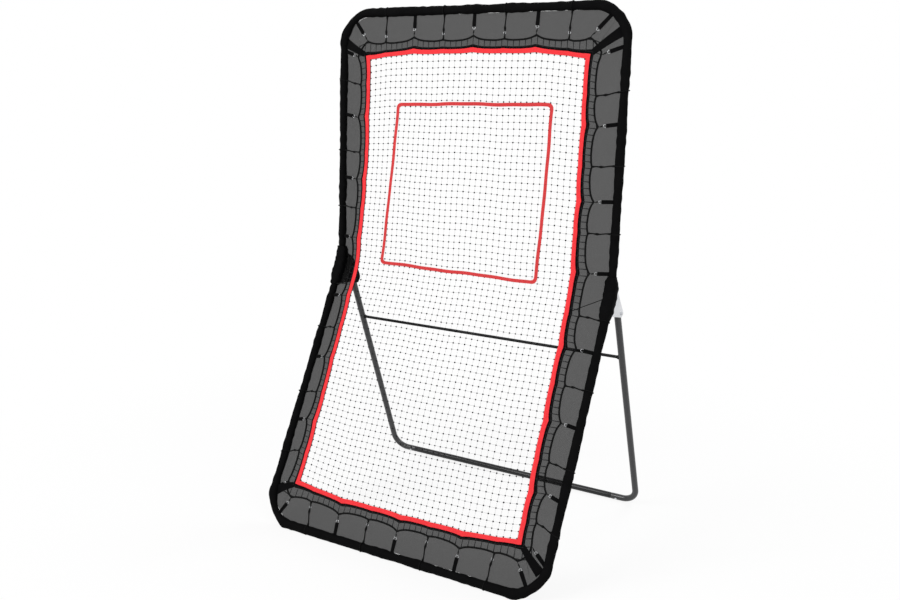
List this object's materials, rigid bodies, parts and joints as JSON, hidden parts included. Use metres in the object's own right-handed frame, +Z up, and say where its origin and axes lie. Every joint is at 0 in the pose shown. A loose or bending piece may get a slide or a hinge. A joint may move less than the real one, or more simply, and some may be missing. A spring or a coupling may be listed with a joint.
{
  "type": "pitching target net",
  "caption": "Free-standing pitching net on a bent tube frame with a red strike-zone band, black skirt and sleeve, hinged sides and a folding rear leg.",
  "frame": {"origin": "on the floor, at the middle of the footprint between the front tube and the rear tube", "axes": "+Z up, +X to the right as the thrower sees it, +Y away from the thrower; the net faces -Y"},
  "size_m": [1.2368, 0.9484, 1.9667],
  "materials": {
    "painted_steel": "dark grey satin powder coat on steel tube",
    "zinc": "zinc plated steel",
    "black_fabric": "black woven polyester sleeve and webbing",
    "skirt_mesh": "fine black see-through mesh",
    "net_cord": "black knotted cord net",
    "red_webbing": "red woven webbing",
    "edge_rope": "black braided rope"
  },
  "bodies": {
    "lower_frame": {"black_border_lower": "black_fabric", "bottom_cross_tube": "painted_steel", "corner_strap_lower_left": "black_fabric", "corner_strap_lower_right": "black_fabric", "edge_rope_lower": "edge_rope", "frame_fix_lower_bolt_left": "zinc", "frame_fix_lower_bolt_right": "zinc", "frame_fix_lower_nut_left": "zinc", "frame_fix_lower_nut_right": "zinc", "frame_fix_upper_bolt_left": "zinc", "frame_fix_upper_bolt_right": "zinc", "frame_fix_upper_nut_left": "zinc", "frame_fix_upper_nut_right": "zinc", "hinge_cover_left": "black_fabric", "hinge_cover_right": "black_fabric", "hinge_plate_inner_left": "zinc", "hinge_plate_inner_right": "zinc", "hinge_plate_outer_left": "zinc", "hinge_plate_outer_right": "zinc", "leg_pivot_bolt_left": "zinc", "leg_pivot_bolt_right": "zinc", "leg_pivot_nut_left": "zinc", "leg_pivot_nut_right": "zinc", "lower_left_tube": "painted_steel", "lower_right_tube": "painted_steel", "net_lower": "net_cord", "red_border_lower": "red_webbing", "skirt_lower": "skirt_mesh", "sleeve_lower": "black_fabric", "tilt_pivot_bolt_left": "zinc", "tilt_pivot_bolt_right": "zinc", "tilt_pivot_nut_left": "zinc", "tilt_pivot_nut_right": "zinc"},
    "upper_frame": {"black_border_upper": "black_fabric", "corner_strap_upper_left": "black_fabric", "corner_strap_upper_right": "black_fabric", "edge_rope_upper": "edge_rope", "net_upper": "net_cord", "red_border_upper": "red_webbing", "skirt_upper": "skirt_mesh", "sleeve_upper": "black_fabric", "strike_zone": "red_webbing", "top_cross_tube": "painted_steel", "upper_left_tube": "painted_steel", "upper_right_tube": "painted_steel"},
    "rear_leg": {"leg_bottom_tube": "painted_steel", "leg_cross_bar": "painted_steel", "leg_joint_screw_left": "zinc", "leg_joint_screw_right": "zinc", "leg_left_tube": "painted_steel", "leg_right_tube": "painted_steel"}
  },
  "joints": [
    {"name": "frame_tilt", "type": "hinge", "parent": "lower_frame", "child": "upper_frame", "pos_m": [0, 0.06069, 0.97269], "axis": [1, 0, 0], "range_deg": [-26, 15]},
    {"name": "leg_fold", "type": "hinge", "parent": "lower_frame", "child": "rear_leg", "pos_m": [0, 0.12869, 0.88069], "axis": [1, 0, 0], "range_deg": [-49, 0]}
  ]
}
